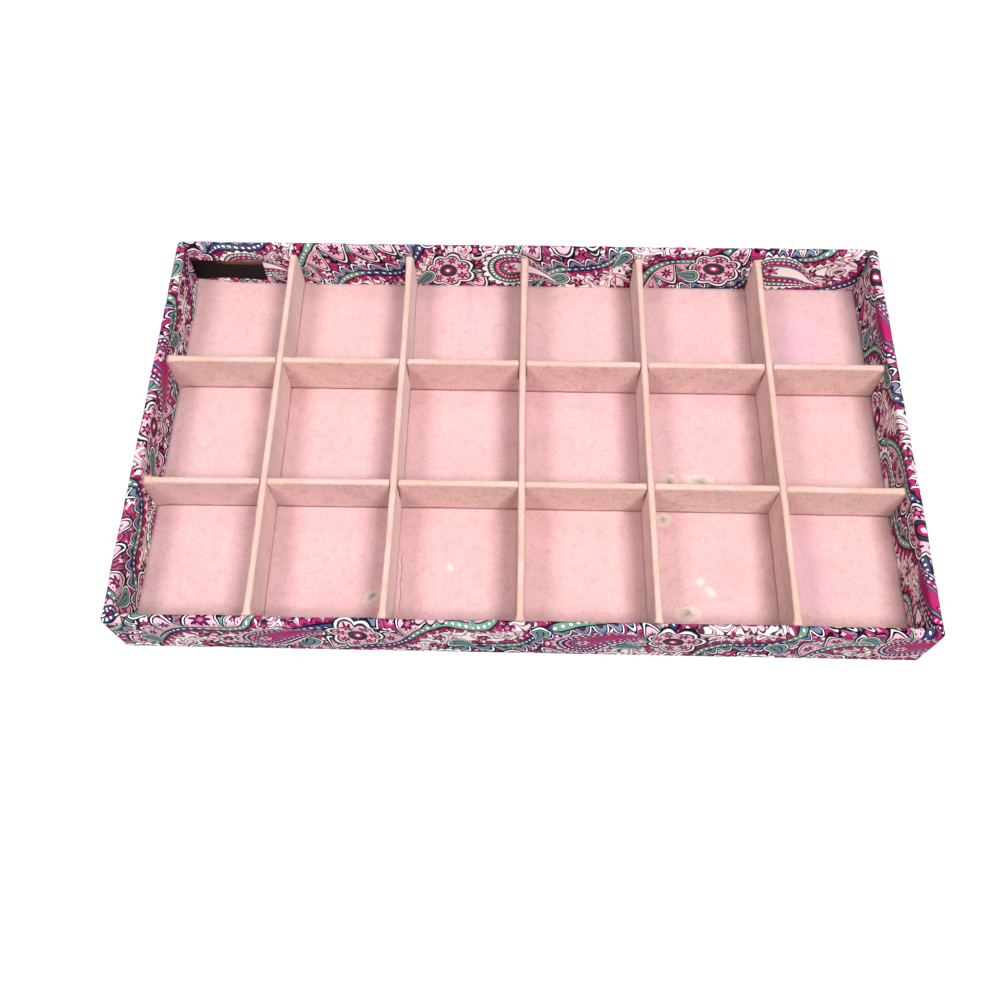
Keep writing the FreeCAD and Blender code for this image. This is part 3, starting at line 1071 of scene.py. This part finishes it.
def black_ribbon():
    """Black satin ribbon with fine ribs across it and a brown-gold thread along its top edge."""
    finish = Finish("black_ribbon", Roughness=0.6, Specular_IOR_Level=0.15)
    sheet = finish.sheet()
    along, up, _ = sheet.parts()
    rib = (along * (2 * math.pi / (0.35 * MM))).sine() * (up * (2 * math.pi / (0.5 * MM))).sine()
    fray = (sheet.noise(1.2 * MM, 3.0) - 0.5) * 2.2 * MM
    gold = (up + fray).rises(13.0 * MM, 14.2 * MM) * along.rises(12 * MM, 24 * MM)
    dust = sheet.noise(3.5 * MM, 4.0, 0.7).rises(0.5, 0.8) * 0.12
    colour = dust.paint(ink(10, 6, 8), ink(64, 50, 50))
    colour = (gold * 0.7).paint(colour, ink(120, 78, 44))
    finish.feed("Base Color", colour)
    finish.bump(rib, 0.04 * MM, 0.6)
    return finish.material


def dress(piece, material):
    """Gives a piece one material."""
    piece.data.materials.append(material)


def build_cloth():
    cotton = printed_cotton()
    walls = (
        ("front", HALF_LENGTH, 0, True, (0.0, 0.0), 1),
        ("right", HALF_DEPTH, 1, False, (0.371, 0.016), 2),
        ("rear", HALF_LENGTH, 2, True, (0.815, 0.031), 3),
        ("left", HALF_DEPTH, 3, False, (1.243, 0.008), 4),
    )
    for wall in walls:
        dress(wall_cloth(*wall), cotton)


def build_floor(dividers):
    tone = ink(214, 173, 176)
    warm = ink(214, 173, 172)

    # Floor marks with their painted shade and painted highlight, then dust and painted shade along the
    # dividers' feet
    def marks(finish, place, colour):
        return dust_and_foot_shade(place, floor_marks_and_painted_light(place, colour), dividers)

    pile = flock("pink_flock", tone, warm, ink(227, 191, 192), ink(197, 151, 151), marks)
    dress(flocked_floor(), pile)


def lay_out_dividers():
    """The two long dividers and the five short ones, each with its crossings."""
    longs = []
    for number, bend in enumerate(LONG_BENDS, 1):
        longs.append(Divider(f"long_divider_{number}", GRID, True, bend, 29 + number))
    shorts = []
    for number, bend in enumerate(SHORT_BENDS, 1):
        name = f"short_divider_{number}"
        shorts.append(Divider(name, name, False, bend, 39 + number))
    for divider in longs:
        divider.cross(shorts)
    for divider in shorts:
        divider.cross(longs)
    return [*longs, *shorts]


def build_dividers(dividers, chip):
    tone = ink(211, 162, 158)
    warm = ink(210, 164, 153)
    cover = flock("peach_flock", tone, warm, ink(232, 202, 192), ink(178, 128, 121), fold_wear_and_highlight)
    for divider in dividers:
        dress(divider_core(divider), chip)
        dress(divider_cover(divider), cover)


def build_boards(chip):
    card = board("grey_card", ink(166, 156, 142), ink(188, 178, 164))
    tape = board("brown_tape", ink(196, 168, 128), ink(208, 182, 142))
    finishes = {"board": chip, "card": card, "paper": tape}
    for part in frame["record"]["subparts"]:
        if part["material_slot"] in finishes:
            frame["nodes"][part["node"]].material_slots[0].material = finishes[part["material_slot"]]


def soft_light(name, place, width, length, power):
    """Oblong lamp, its length about along Y, aimed at a place behind the tray and not seen itself."""
    lamp = bpy.data.lights.new(name, "AREA")
    lamp.shape = "RECTANGLE"
    lamp.size = width
    lamp.size_y = length
    lamp.energy = power
    holder = added(name, lamp)
    holder.location = place
    across = place[0] - LAMP_AIM[0]
    behind = LAMP_AIM[1] - place[1]
    height = place[2]
    tilt = math.atan2(behind, math.hypot(across, height))
    holder.rotation_euler = (tilt, math.atan2(across, height), 0)
    holder.visible_camera = False


def glowing(name, base):
    """Plain matt material of a grey base that also gives its own white light."""
    return Finish(
        name,
        Base_Color=(base, base, base, 1),
        Roughness=0.9,
        Specular_IOR_Level=0.0,
        Emission_Color=(1, 1, 1, 1),
        Emission_Strength=STAGE_GLOW,
    )


def pale_floor():
    """Large triangle just under the tray, seen through from below."""
    corners = (
        (-2 * STAGE_REACH, -STAGE_REACH, STAGE_LEVEL),
        (2 * STAGE_REACH, -STAGE_REACH, STAGE_LEVEL),
        (0, 2 * STAGE_REACH, STAGE_LEVEL),
    )
    mesh = bpy.data.meshes.new("pale_floor")
    mesh.from_pydata(corners, [], [(0, 1, 2)])
    floor = added("pale_floor", mesh)
    finish = glowing("pale_floor", STAGE_GREY)
    finish.clear_from_behind()
    dress(floor, finish.material)


def pale_backdrop():
    """Sphere round the stage, as pale as the floor, that the camera sees and no other light does."""
    around = np.linspace(0, 2 * np.pi, 65)[:, None]
    up = np.linspace(-np.pi / 2, np.pi / 2, 33)[None, :]
    points = [np.cos(around) * np.cos(up), np.sin(around) * np.cos(up), np.sin(up) + 0 * around]
    points = STAGE_REACH * np.stack(points, axis=-1)
    backdrop = grid_piece("pale_backdrop", points, points[..., :2])
    backdrop.visible_diffuse = False
    backdrop.visible_glossy = False
    backdrop.visible_transmission = False
    backdrop.visible_shadow = False
    dress(backdrop, glowing("pale_backdrop", 0.0).material)


def studio():
    """Pale floor and backdrop, two soft lamps high at the sides, a weak one behind, and the camera."""
    pale_floor()
    pale_backdrop()
    for lamp in LAMPS:
        soft_light(*lamp)
    world = bpy.data.worlds.new("soft_room")
    world.use_nodes = True
    background = world.node_tree.nodes["Background"]
    background.inputs["Color"].default_value = (1, 1, 1, 1)
    background.inputs["Strength"].default_value = ROOM_LIGHT
    bpy.context.scene.world = world

    lens = bpy.data.cameras.new("camera")
    lens.sensor_width = SENSOR_MM
    lens.lens = SENSOR_MM * FOCAL_PIXELS / IMAGE_SIDE
    lens.clip_start = 0.01
    camera = added("camera", lens)
    turn = Matrix.Rotation(CAMERA_YAW, 4, "Z")
    tilt = Matrix.Rotation(math.pi / 2 - CAMERA_ELEVATION, 4, "X")
    roll = Matrix.Rotation(CAMERA_ROLL, 4, "Z")
    camera.matrix_world = Matrix.Translation(CAMERA_PLACE) @ turn @ tilt @ roll
    bpy.context.scene.camera = camera
    bpy.context.scene.view_settings.view_transform = "Standard"


chipboard = board("chipboard", ink(150, 132, 112), ink(176, 158, 136))
all_dividers = lay_out_dividers()
build_cloth()
build_floor(all_dividers)
build_dividers(all_dividers, chipboard)
dress(ribbon_label(), black_ribbon())
build_boards(chipboard)
studio()
